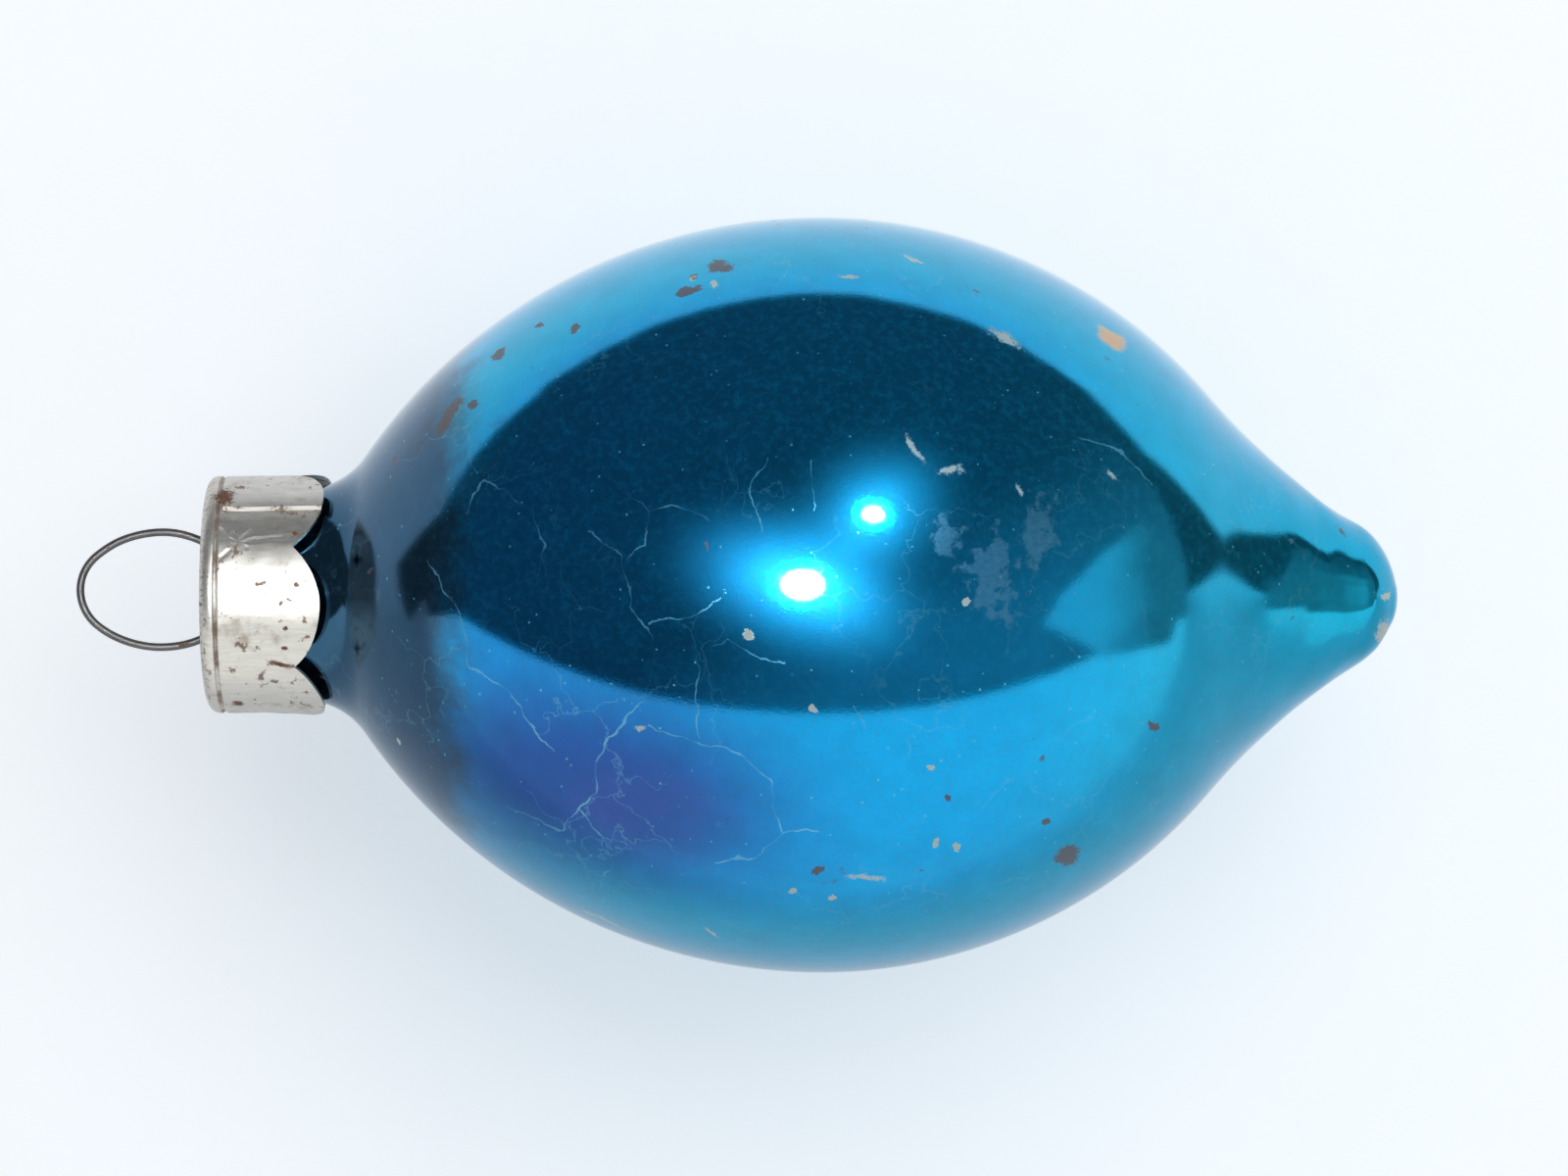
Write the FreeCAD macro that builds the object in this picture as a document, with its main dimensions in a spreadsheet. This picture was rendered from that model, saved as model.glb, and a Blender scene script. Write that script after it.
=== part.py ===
import FreeCAD, Part
import math
import os
import Sketcher

# A blown-glass tree ornament lying on its side. The glass is a lemon-shaped body of
# revolution with an open neck at -X and a sealed nose at +X. It is silvered inside and
# lacquered outside. A scalloped tinplate cap sits over the neck and holds a wire hanger.
# Inside each sub-part the ornament's axis is X, and X = 0 is the widest circle. The
# Placement then lays the sub-part on the floor, with the whole ornament centred over
# the origin. Lengths are in millimetres and angles in degrees.

SIZES = {
    # outline of the lacquered glass, from the neck to the nose
    "widest_radius": 28.7,
    "neck_radius": 8.1,
    "fillet_radius": 6.0,       # hollow between the neck and the shoulder
    "shoulder_radius": 42.0,    # from that hollow to the widest circle
    "belly_radius": 38.5,       # from the widest circle to the waist of the nose
    "waist_radius": 50.0,       # hollow before the nose
    "nose_radius": 6.2,
    "nose_centre": 37.5,        # from the widest circle
    # the layers of the wall
    "lacquer_film": 0.06,
    "glass_wall": 0.6,
    "glass_edge": 46.05,        # the mouth, from the widest circle, just under the cap's top
    "silver_film": 0.06,
    "lacquer_edge": 44.4,       # where the lacquer stops, from the widest circle
    "silver_edge": 45.2,
    # cap
    "cap_reach": 46.4,          # from the widest circle to the cap's top
    "cap_radius": 9.0,
    "cap_depth": 9.0,
    "cap_sheet": 0.25,
    "cap_corner": 0.9,
    "bead_width": 1.05,         # rolled band between the cap's top and its groove
    "groove_radius": 0.3,
    "groove_depth": 0.12,
    "scallop_count": 6,
    "scallop_depth": 2.0,
    "scallop_flat": 0.35,       # half the straight bit at the top of each scallop
    "scallop_turn": 36.65,      # of the first notch, from straight up towards -Y
    "hole_spread": 3.35,        # from the axis to the middle of each wire hole
    "hole_length": 2.4,
    "hole_width": 1.2,
    # hanger
    "wire_radius": 0.3,
    "loop_reach": 56.2,         # from the widest circle to the wire at the loop's end
    "loop_centre": 50.1,        # to the loop's widest place
    "loop_half_width": 4.35,
    "loop_end_radius": 3.4,
    "loop_side_radius": 7.71,
    "loop_shift": 0.35,         # sideways, towards +Y
    "pinch_angle": 32.0,        # slope of the loop's side where the leg begins
    "pinch_radius": 1.5,
    "leg_splay": 9.0,
    "leg_reach": 24.0,          # from the widest circle to the leg's tip
}

doc = FreeCAD.newDocument("glass_ornament")
sheet = doc.addObject("Spreadsheet::Sheet", "sizes")
for row, (alias, value) in enumerate(SIZES.items(), start=1):
    sheet.set(f"A{row}", alias)
    sheet.set(f"B{row}", str(value))
    sheet.setAlias(f"B{row}", alias)
doc.recompute()


def size(alias):
    """The value of one cell of the sheet."""
    return float(sheet.get(alias))


def vector(x, y):
    return FreeCAD.Vector(x, y, 0)


def between(first, second, distance):
    """The point at a distance from first, on the line towards second."""
    return first + (second - first).normalize() * distance


# ---- bodies and sketches ----

def new_body(label, shift_y="0"):
    """An empty body whose Placement lays it on the floor."""
    body = doc.addObject("PartDesign::Body", label)
    body.Label = label
    body.setExpression(
        "Placement.Base.x",
        "(sizes.loop_reach + sizes.wire_radius - sizes.nose_centre - sizes.nose_radius) / 2",
    )
    body.setExpression("Placement.Base.y", shift_y)
    body.setExpression("Placement.Base.z", "sizes.widest_radius")
    return body


def new_sketch(body, name, plane):
    """A sketch on one of the body's own origin planes."""
    sketch = body.newObject("Sketcher::SketchObject", name)
    support = next(f for f in body.Origin.OriginFeatures if f.Role == plane)
    sketch.AttachmentSupport = [(support, "")]
    sketch.MapMode = "FlatFace"
    return sketch


UPWARDS = FreeCAD.Vector(0, 0, 1)
START, END, CENTRE = 1, 2, 3
MIN_CUT = 0.001             # mm3, above the noise in a volume
AXIS_ACROSS, AXIS_UP = -1, -2
ORIGIN = (-1, 1)


def hold(sketch, *constraint, to=None, name=None):
    """Adds a constraint and binds it to an expression, if one is given."""
    index = sketch.addConstraint(Sketcher.Constraint(*constraint))
    if to is not None:
        sketch.renameConstraint(index, name)
        sketch.setExpression(f"Constraints.{name}", to)


def add_line(sketch, first, last):
    return sketch.addGeometry(Part.LineSegment(first, last), False)


def add_arc(sketch, centre, first, last):
    """An arc under half a turn. Returns its index, and which ends are first and last."""
    anticlockwise = (first - centre).cross(last - centre).z > 0
    ends = [first, last] if anticlockwise else [last, first]
    angles = [math.atan2(point.y - centre.y, point.x - centre.x) for point in ends]
    circle = Part.Circle(centre, UPWARDS, (first - centre).Length)
    index = sketch.addGeometry(Part.ArcOfCircle(circle, *angles), False)
    if anticlockwise:
        return index, START, END
    return index, END, START


def join(sketch, first, second):
    """Puts the end of one line or arc on the end of another."""
    hold(sketch, "Coincident", *first, *second)


def flow(sketch, first, second):
    """Joins two ends so that one runs smoothly into the other."""
    hold(sketch, "Tangent", *first, *second)


# ---- the wall of the ornament ----

def add_outline(sketch, side, mouth, depth, depth_rule):
    """One side of the wall, from the mouth to the nose, a depth under the outer face."""
    neck = size("neck_radius") - depth
    fillet = size("fillet_radius") + depth
    shoulder = size("shoulder_radius") - depth
    belly = size("belly_radius") - depth
    nose = size("nose_radius") - depth
    widest = size("widest_radius") - depth

    shoulder_centre = vector(0, widest - shoulder)
    belly_centre = vector(0, widest - belly)
    nose_centre = vector(size("nose_centre"), 0)
    fillet_up = neck + fillet
    fillet_across = math.sqrt((shoulder + fillet) ** 2 - (fillet_up - shoulder_centre.y) ** 2)
    fillet_centre = vector(-fillet_across, fillet_up)

    # the waist's circle touches the belly's and the nose's from outside
    to_belly = size("waist_radius") + size("belly_radius")
    to_nose = size("waist_radius") + size("nose_radius")
    base = nose_centre - belly_centre
    along = (to_belly**2 - to_nose**2 + base.Length**2) / (2 * base.Length)
    away = math.sqrt(to_belly**2 - along**2)
    normal = vector(-base.y, base.x).normalize()
    waist_centre = between(belly_centre, nose_centre, along) + normal * away

    at_mouth = vector(-size(mouth), neck)
    at_neck = vector(-fillet_across, neck)
    at_shoulder = between(shoulder_centre, fillet_centre, shoulder)
    at_widest = vector(0, widest)
    at_waist = between(belly_centre, waist_centre, belly)
    at_nose = between(nose_centre, waist_centre, nose)
    at_tip = vector(size("nose_centre") + nose, 0)

    line = add_line(sketch, at_mouth, at_neck)
    arcs = [
        add_arc(sketch, fillet_centre, at_neck, at_shoulder),
        add_arc(sketch, shoulder_centre, at_shoulder, at_widest),
        add_arc(sketch, belly_centre, at_widest, at_waist),
        add_arc(sketch, waist_centre, at_waist, at_nose),
        add_arc(sketch, nose_centre, at_nose, at_tip),
    ]
    fillet_arc, shoulder_arc, belly_arc, waist_arc, nose_arc = arcs
    inward = f"- ({depth_rule})"
    outward = f"+ ({depth_rule})"
    radii = [
        (fillet_arc, "fillet", outward),
        (shoulder_arc, "shoulder", inward),
        (belly_arc, "belly", inward),
        (waist_arc, "waist", outward),
        (nose_arc, "nose", inward),
    ]
    for (arc, _, _), name, change in radii:
        value = sketch.Geometry[arc].Radius
        rule = f"sizes.{name}_radius {change}"
        hold(sketch, "Radius", arc, value, to=rule, name=f"{side}_{name}")

    hold(sketch, "Horizontal", line)
    hold(sketch, "DistanceX", *ORIGIN, line, START, at_mouth.x,
         to=f"-sizes.{mouth}", name=f"{side}_mouth")
    hold(sketch, "DistanceY", *ORIGIN, line, START, neck,
         to=f"sizes.neck_radius {inward}", name=f"{side}_neck")
    flow(sketch, (line, END), fillet_arc[:2])
    flow(sketch, (fillet_arc[0], fillet_arc[2]), shoulder_arc[:2])
    hold(sketch, "PointOnObject", shoulder_arc[0], CENTRE, AXIS_UP)
    hold(sketch, "PointOnObject", shoulder_arc[0], shoulder_arc[2], AXIS_UP)
    hold(sketch, "DistanceY", *ORIGIN, shoulder_arc[0], shoulder_arc[2], widest,
         to=f"sizes.widest_radius {inward}", name=f"{side}_widest")
    hold(sketch, "PointOnObject", belly_arc[0], CENTRE, AXIS_UP)
    join(sketch, (shoulder_arc[0], shoulder_arc[2]), belly_arc[:2])
    flow(sketch, (belly_arc[0], belly_arc[2]), waist_arc[:2])
    flow(sketch, (waist_arc[0], waist_arc[2]), nose_arc[:2])
    hold(sketch, "PointOnObject", nose_arc[0], CENTRE, AXIS_ACROSS)
    hold(sketch, "PointOnObject", nose_arc[0], nose_arc[2], AXIS_ACROSS)
    hold(sketch, "DistanceX", *ORIGIN, nose_arc[0], CENTRE, nose_centre.x,
         to="sizes.nose_centre", name=f"{side}_nose_centre")
    return (line, START), at_mouth, (nose_arc[0], nose_arc[2]), at_tip


def revolve(body, sketch, feature="PartDesign::Revolution"):
    """A full turn of a sketch about the ornament's axis."""
    turned = body.newObject(feature, f"{sketch.Name}_turned")
    turned.Profile = sketch
    turned.ReferenceAxis = (sketch, ["H_Axis"])
    turned.Angle = 360
    sketch.Visibility = False
    return turned


def wall_layer(label, mouth, outer, inner):
    """A thin shell between two depths under the outer face, open at the neck."""
    body = new_body(label)
    sketch = new_sketch(body, f"{label}_section", "XY_Plane")
    sides = []
    for side, films in (("outer", outer), ("inner", inner)):
        depth = sum(size(film) for film in films)
        rule = " + ".join(["0", *(f"sizes.{film}" for film in films)])
        sides.append(add_outline(sketch, side, mouth, depth, rule))
    (mouth_a, at_a, tip_a, end_a), (mouth_b, at_b, tip_b, end_b) = sides
    for near, start, far, stop in ((mouth_a, at_a, mouth_b, at_b), (tip_a, end_a, tip_b, end_b)):
        closing = add_line(sketch, start, stop)
        join(sketch, (closing, START), near)
        join(sketch, (closing, END), far)
    revolve(body, sketch)
    return body


# ---- the cap ----

def cap():
    """A drawn cup over the neck, with a rolled corner, a groove and a scalloped skirt."""
    body = new_body("cap")
    reach, radius = size("cap_reach"), size("cap_radius")
    sheet_metal, corner = size("cap_sheet"), size("cap_corner")
    skirt = reach - size("cap_depth")

    section = new_sketch(body, "cap_section", "XY_Plane")
    corner_centre = vector(corner - reach, radius - corner)
    outer_top = vector(-reach, radius - corner)
    outer_side = vector(corner - reach, radius)
    inner_top = vector(sheet_metal - reach, radius - corner)
    inner_side = vector(corner - reach, radius - sheet_metal)
    top = add_line(section, vector(-reach, 0), outer_top)
    outer_corner = add_arc(section, corner_centre, outer_top, outer_side)
    side = add_line(section, outer_side, vector(-skirt, radius))
    edge = add_line(section, vector(-skirt, radius), vector(-skirt, radius - sheet_metal))
    inside = add_line(section, vector(-skirt, radius - sheet_metal), inner_side)
    inner_corner = add_arc(section, corner_centre, inner_side, inner_top)
    ceiling = add_line(section, inner_top, vector(sheet_metal - reach, 0))
    axis = add_line(section, vector(sheet_metal - reach, 0), vector(-reach, 0))

    for line in (top, edge, ceiling):
        hold(section, "Vertical", line)
    for line in (side, inside):
        hold(section, "Horizontal", line)
    flow(section, (top, END), outer_corner[:2])
    flow(section, (outer_corner[0], outer_corner[2]), (side, START))
    join(section, (side, END), (edge, START))
    join(section, (edge, END), (inside, START))
    flow(section, (inside, END), inner_corner[:2])
    flow(section, (inner_corner[0], inner_corner[2]), (ceiling, START))
    join(section, (ceiling, END), (axis, START))
    join(section, (axis, END), (top, START))
    hold(section, "PointOnObject", top, START, AXIS_ACROSS)
    hold(section, "PointOnObject", ceiling, END, AXIS_ACROSS)
    hold(section, "DistanceX", *ORIGIN, top, START, -reach, to="-sizes.cap_reach", name="reach")
    hold(section, "DistanceY", *ORIGIN, side, END, radius, to="sizes.cap_radius", name="radius")
    hold(section, "DistanceX", *ORIGIN, edge, START, -skirt,
         to="sizes.cap_depth - sizes.cap_reach", name="skirt")
    hold(section, "DistanceY", edge, END, edge, START, sheet_metal,
         to="sizes.cap_sheet", name="side_sheet")
    hold(section, "DistanceX", top, START, ceiling, END, sheet_metal,
         to="sizes.cap_sheet", name="top_sheet")
    hold(section, "Radius", outer_corner[0], corner, to="sizes.cap_corner", name="corner")
    hold(section, "Radius", inner_corner[0], corner - sheet_metal,
         to="sizes.cap_corner - sizes.cap_sheet", name="inner_corner")
    revolve(body, section)

    groove = new_sketch(body, "cap_groove", "XY_Plane")
    lift = size("groove_radius") - size("groove_depth")
    centre = vector(size("bead_width") - reach, radius + lift)
    ring = groove.addGeometry(Part.Circle(centre, UPWARDS, size("groove_radius")), False)
    hold(groove, "Radius", ring, size("groove_radius"), to="sizes.groove_radius", name="round")
    hold(groove, "DistanceX", *ORIGIN, ring, CENTRE, centre.x,
         to="sizes.bead_width - sizes.cap_reach", name="place")
    hold(groove, "DistanceY", *ORIGIN, ring, CENTRE, centre.y,
         to="sizes.cap_radius + sizes.groove_radius - sizes.groove_depth", name="lift")
    revolve(body, groove, "PartDesign::Groove")

    holes = new_sketch(body, "cap_holes", "YZ_Plane")
    for name, turn in (("left", 1), ("right", -1)):
        add_hole(holes, name, turn)
    cut(body, holes)

    notch = new_sketch(body, "cap_notch", "XY_Plane")
    notch.AttachmentOffset = FreeCAD.Placement(
        FreeCAD.Vector(), FreeCAD.Rotation(FreeCAD.Vector(1, 0, 0), size("scallop_turn"))
    )
    notch.setExpression("AttachmentOffset.Rotation.Angle", "sizes.scallop_turn")
    add_notch(notch, skirt)
    pocket = cut(body, notch)
    pattern = body.newObject("PartDesign::PolarPattern", "cap_scallops")
    pattern.Originals = [pocket]
    pattern.Axis = (next(f for f in body.Origin.OriginFeatures if f.Role == "X_Axis"), [""])
    pattern.Angle = 360
    pattern.setExpression("Occurrences", "sizes.scallop_count")
    body.Tip = pattern
    return body


def add_hole(sketch, name, turn):
    """An obround wire hole in the cap's top, its length along Y."""
    round_end = size("hole_width") / 2
    half = size("hole_length") / 2 - round_end
    middle = turn * size("hole_spread")
    ends = [middle - half, middle + half]
    arcs = []
    for place, turned in zip(ends, (math.pi / 2, -math.pi / 2)):
        circle = Part.Circle(vector(place, 0), UPWARDS, round_end)
        arcs.append(sketch.addGeometry(Part.ArcOfCircle(circle, turned, turned + math.pi), False))
    low = add_line(sketch, vector(ends[0], -round_end), vector(ends[1], -round_end))
    high = add_line(sketch, vector(ends[1], round_end), vector(ends[0], round_end))
    flow(sketch, (arcs[0], END), (low, START))
    flow(sketch, (low, END), (arcs[1], START))
    flow(sketch, (arcs[1], END), (high, START))
    flow(sketch, (high, END), (arcs[0], START))
    for arc in arcs:
        hold(sketch, "PointOnObject", arc, CENTRE, AXIS_ACROSS)
    hold(sketch, "Radius", arcs[0], round_end, to="sizes.hole_width / 2", name=f"{name}_round")
    sign = "" if turn > 0 else "-"
    hold(sketch, "DistanceX", *ORIGIN, arcs[0], CENTRE, ends[0],
         to=f"{sign}sizes.hole_spread - (sizes.hole_length - sizes.hole_width) / 2",
         name=f"{name}_low")
    hold(sketch, "DistanceX", arcs[0], CENTRE, arcs[1], CENTRE, 2 * half,
         to="sizes.hole_length - sizes.hole_width", name=f"{name}_length")


def add_notch(sketch, skirt):
    """The gap between two scallops, which are arcs with a short straight top."""
    half_pitch = size("cap_radius") * math.sin(math.pi / size("scallop_count"))
    flat, depth = size("scallop_flat"), size("scallop_depth")
    drop = (half_pitch**2 - flat**2 + depth**2) / (2 * depth)
    bottom = vector(-skirt - depth, 0)
    beyond = vector(-skirt + depth, 0)
    sides = []
    for turn in (1, -1):
        centre = vector(-skirt - drop, turn * half_pitch)
        corner = vector(-skirt, turn * (half_pitch - flat))
        outside = vector(beyond.x, corner.y)
        arc = add_arc(sketch, centre, bottom, corner)
        line = add_line(sketch, corner, outside)
        join(sketch, (arc[0], arc[2]), (line, START))
        hold(sketch, "Horizontal", line)
        sides.append((arc, line, outside))
    (arc, line, outside), (mirror_arc, mirror_line, mirror_outside) = sides
    closing = add_line(sketch, outside, mirror_outside)
    join(sketch, (line, END), (closing, START))
    join(sketch, (mirror_line, END), (closing, END))
    join(sketch, arc[:2], mirror_arc[:2])
    hold(sketch, "Vertical", closing)
    pitch_rule = "sizes.cap_radius * sin(180 deg / sizes.scallop_count)"
    hold(sketch, "PointOnObject", *arc[:2], AXIS_ACROSS)
    hold(sketch, "DistanceX", *ORIGIN, *arc[:2], bottom.x,
         to="sizes.cap_depth - sizes.cap_reach - sizes.scallop_depth", name="bottom")
    hold(sketch, "DistanceX", *ORIGIN, closing, START, beyond.x,
         to="sizes.cap_depth - sizes.cap_reach + sizes.scallop_depth", name="beyond")
    for name, sign, this in (("left", "", arc), ("right", "-", mirror_arc)):
        turn = -1 if sign else 1
        hold(sketch, "DistanceX", *ORIGIN, this[0], this[2], -skirt,
             to="sizes.cap_depth - sizes.cap_reach", name=f"{name}_skirt")
        hold(sketch, "DistanceY", *ORIGIN, this[0], CENTRE, turn * half_pitch,
             to=f"{sign}{pitch_rule}", name=f"{name}_pitch")
        hold(sketch, "DistanceY", *ORIGIN, this[0], this[2], turn * (half_pitch - flat),
             to=f"{sign}({pitch_rule} - sizes.scallop_flat)", name=f"{name}_flat")


def cut(body, sketch):
    """A pocket on whichever side of the sketch has material."""
    doc.recompute()
    before = body.Shape.Volume
    pocket = body.newObject("PartDesign::Pocket", f"{sketch.Name}_cut")
    pocket.Profile = sketch
    pocket.Type = "ThroughAll"
    sketch.Visibility = False
    for reverse in (False, True):
        pocket.Reversed = reverse
        doc.recompute()
        if not pocket.Shape.isNull() and pocket.Shape.Volume < before - MIN_CUT:
            return pocket
    raise RuntimeError(f"{pocket.Label} cuts nothing")


# ---- the hanger ----

def hanger():
    """One length of wire: an oval loop, pinched at the cap, and two splayed legs."""
    body = new_body("hanger_wire", shift_y="sizes.loop_shift")
    reach, wire = size("loop_reach"), size("wire_radius")
    end_radius, side_radius = size("loop_end_radius"), size("loop_side_radius")
    pinch, pinch_radius = math.radians(size("pinch_angle")), size("pinch_radius")
    splay = math.radians(size("leg_splay"))

    end_centre = vector(end_radius - reach, 0)
    side_centre = vector(-size("loop_centre"), size("loop_half_width") - side_radius)
    to_pinch = vector(math.sin(pinch), math.cos(pinch))
    pinch_centre = side_centre + to_pinch * (side_radius + pinch_radius)
    at_end = vector(-reach, 0)
    at_side = between(side_centre, end_centre, side_radius)
    at_pinch = side_centre + to_pinch * side_radius
    at_leg = pinch_centre + vector(math.sin(splay), -math.cos(splay)) * pinch_radius
    leg_run = -size("leg_reach") - at_leg.x
    at_tip = vector(-size("leg_reach"), at_leg.y + leg_run * math.tan(splay))

    route = new_sketch(body, "wire_route", "XY_Plane")
    end = add_arc(route, end_centre, at_end, at_side)
    side = add_arc(route, side_centre, at_side, at_pinch)
    bend = add_arc(route, pinch_centre, at_pinch, at_leg)
    leg = add_line(route, at_leg, at_tip)
    flow(route, (end[0], end[2]), side[:2])
    flow(route, (side[0], side[2]), bend[:2])
    flow(route, (bend[0], bend[2]), (leg, START))
    hold(route, "PointOnObject", *end[:2], AXIS_ACROSS)
    hold(route, "PointOnObject", end[0], CENTRE, AXIS_ACROSS)
    hold(route, "DistanceX", *ORIGIN, *end[:2], -reach, to="-sizes.loop_reach", name="reach")
    hold(route, "Radius", end[0], end_radius, to="sizes.loop_end_radius", name="end_radius")
    hold(route, "Radius", side[0], side_radius, to="sizes.loop_side_radius", name="side_radius")
    hold(route, "DistanceX", *ORIGIN, side[0], CENTRE, side_centre.x,
         to="-sizes.loop_centre", name="widest_place")
    hold(route, "Radius", bend[0], pinch_radius, to="sizes.pinch_radius", name="pinch_radius")
    hold(route, "DistanceX", *ORIGIN, *bend[:2], at_pinch.x,
         to="sizes.loop_side_radius * sin(sizes.pinch_angle * 1 deg) - sizes.loop_centre",
         name="pinch_place")
    hold(route, "Angle", leg, splay, to="sizes.leg_splay", name="splay")
    hold(route, "DistanceX", *ORIGIN, leg, END, at_tip.x, to="-sizes.leg_reach", name="leg_reach")

    section = new_sketch(body, "wire_section", "XZ_Plane")
    ring = section.addGeometry(Part.Circle(at_end, UPWARDS, wire), False)
    hold(section, "Radius", ring, wire, to="sizes.wire_radius", name="wire")
    hold(section, "DistanceX", *ORIGIN, ring, CENTRE, -reach, to="-sizes.loop_reach", name="reach")
    hold(section, "PointOnObject", ring, CENTRE, AXIS_ACROSS)
    doc.recompute()

    half = body.newObject("PartDesign::AdditivePipe", "half_wire")
    half.Profile = section
    half.Spine = (route, [f"Edge{i}" for i in range(1, len(route.Shape.Edges) + 1)])
    half.Transition = "Transformed"
    doc.recompute()
    both = body.newObject("PartDesign::Mirrored", "both_halves")
    both.Originals = [half]
    mirror = next(f for f in body.Origin.OriginFeatures if f.Role == "XZ_Plane")
    both.MirrorPlane = (mirror, [""])
    body.Tip = both
    return body


# ---- build, check and write ----

bodies = [
    wall_layer("glass_shell", "glass_edge", ["lacquer_film"], ["lacquer_film", "glass_wall"]),
    wall_layer("silver_lining", "silver_edge", ["lacquer_film", "glass_wall"],
               ["lacquer_film", "glass_wall", "silver_film"]),
    wall_layer("lacquer_coat", "lacquer_edge", [], ["lacquer_film"]),
    cap(),
    hanger(),
]
doc.recompute()

for thing in doc.Objects:
    faults = {"Invalid", "Error"} & set(thing.State)
    if faults:
        raise RuntimeError(f"{thing.Label}: {faults}")
os.makedirs("parts", exist_ok=True)
for body in bodies:
    if body.Shape.isNull() or not body.Shape.isValid() or len(body.Shape.Solids) != 1:
        raise RuntimeError(f"{body.Label} isn't one valid solid")
for body in bodies:
    body.Shape.exportStep(f"parts/{body.Label}.step")
    box = body.Shape.BoundBox
    print(f"{body.Label}: {body.Shape.Volume:.1f} mm3,",
          f"X {box.XMin:.2f} to {box.XMax:.2f}, Y {box.YMin:.2f} to {box.YMax:.2f},",
          f"Z {box.ZMin:.2f} to {box.ZMax:.2f}")
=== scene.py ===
import math
import bmesh
import bpy
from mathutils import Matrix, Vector, noise

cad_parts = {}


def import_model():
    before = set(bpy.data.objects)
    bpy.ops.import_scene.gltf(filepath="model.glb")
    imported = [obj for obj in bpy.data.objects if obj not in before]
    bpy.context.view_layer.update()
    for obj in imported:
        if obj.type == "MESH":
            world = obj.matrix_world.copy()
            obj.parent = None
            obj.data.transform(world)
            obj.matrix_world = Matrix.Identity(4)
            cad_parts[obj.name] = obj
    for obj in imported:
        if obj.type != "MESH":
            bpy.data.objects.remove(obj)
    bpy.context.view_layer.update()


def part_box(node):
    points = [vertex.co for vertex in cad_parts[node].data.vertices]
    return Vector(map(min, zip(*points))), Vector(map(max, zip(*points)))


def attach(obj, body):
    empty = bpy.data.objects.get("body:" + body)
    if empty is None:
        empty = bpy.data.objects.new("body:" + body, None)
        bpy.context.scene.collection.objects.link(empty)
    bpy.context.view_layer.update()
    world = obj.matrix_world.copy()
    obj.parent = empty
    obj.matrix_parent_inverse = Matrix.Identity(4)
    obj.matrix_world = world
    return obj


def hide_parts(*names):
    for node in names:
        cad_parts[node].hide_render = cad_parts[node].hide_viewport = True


# A silvered and lacquered glass ornament lying on its side, seen from straight above.
# Sizes in this script are in millimetres unless a name says otherwise, and MM turns them
# into metres. An ornament's place is given from the middle of its widest circle: X along
# the axis towards the nose, Y sideways, Z up.

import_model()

MM = 0.001
TURN = 2 * math.pi

# ---- driving sizes ----

NECK, FILLET, SHOULDER, BELLY, WAIST, NOSE = 8.1, 6.0, 42.0, 38.5, 50.0, 6.2
WIDEST = 28.7
NOSE_CENTRE = 37.5
LACQUER, GLASS, SILVER = 0.06, 0.6, 0.06
SKIN_GAP = 0.01                 # between neighbouring faces of the wall's layers
GLASS_EDGE, LACQUER_EDGE, SILVER_EDGE = 46.05, 44.4, 45.2
CAP_REACH, CAP_RADIUS, CAP_DEPTH, CAP_SHEET = 46.4, 9.0, 9.0, 0.25
CAP_CORNER = 0.9
GROOVE_AT, GROOVE_HALF, GROOVE_DEPTH = 1.22 - CAP_REACH, 0.24, 0.17
SKIRT_START = 1.3 - CAP_REACH   # just past the groove
SCALLOPS, SCALLOP_DEPTH = 6, 2.0
SCALLOP_TURN = math.radians(36.65)
HOLE_SPREAD, HOLE_LENGTH, HOLE_WIDTH = 3.35, 2.4, 1.2
WIRE = 0.3
LOOP_REACH, LOOP_CENTRE, LOOP_WIDTH = 56.2, 50.1, 4.35
LOOP_END, LOOP_SIDE, LOOP_SHIFT = 3.4, 7.71, 0.35
PINCH, PINCH_RADIUS = math.radians(32), 1.5
LEG_SPLAY, LEG_REACH = math.radians(9), 24.0
WALL_SEGMENTS, CAP_SEGMENTS, SKIRT_ROWS, WIRE_SIDES = 192, 360, 30, 28

lacquer_low, lacquer_high = (Vector(corner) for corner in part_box("lacquer_coat"))
MIDDLE = Vector((
    lacquer_high.x - (NOSE_CENTRE + NOSE) * MM,
    (lacquer_low.y + lacquer_high.y) / 2,
    (lacquer_low.z + lacquer_high.z) / 2,
))


def placed(x, y, z):
    """A point of the ornament, in the frame's metres."""
    return MIDDLE + Vector((x, y, z)) * MM


# ---- mesh helpers ----

def finish_mesh(name, bm, material, sharp_degrees=40):
    """An object from a bmesh, smooth but for its sharp edges."""
    bmesh.ops.recalc_face_normals(bm, faces=bm.faces)
    limit = math.radians(sharp_degrees)
    for face in bm.faces:
        face.smooth = True
    for edge in bm.edges:
        edge.smooth = len(edge.link_faces) != 2 or edge.calc_face_angle(0) < limit
    mesh = bpy.data.meshes.new(name)
    bm.to_mesh(mesh)
    bm.free()
    thing = bpy.data.objects.new(name, mesh)
    bpy.context.scene.collection.objects.link(thing)
    mesh.materials.append(material)
    return thing


def skin_between(bm, ring, following):
    """Faces between two rings of vertices, either of which may be a single point."""
    count = max(len(ring), len(following))
    for i in range(count):
        j = (i + 1) % count
        if len(ring) == 1:
            bm.faces.new((ring[0], following[j], following[i]))
        elif len(following) == 1:
            bm.faces.new((ring[i], ring[j], following[0]))
        else:
            bm.faces.new((ring[i], ring[j], following[j], following[i]))


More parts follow.
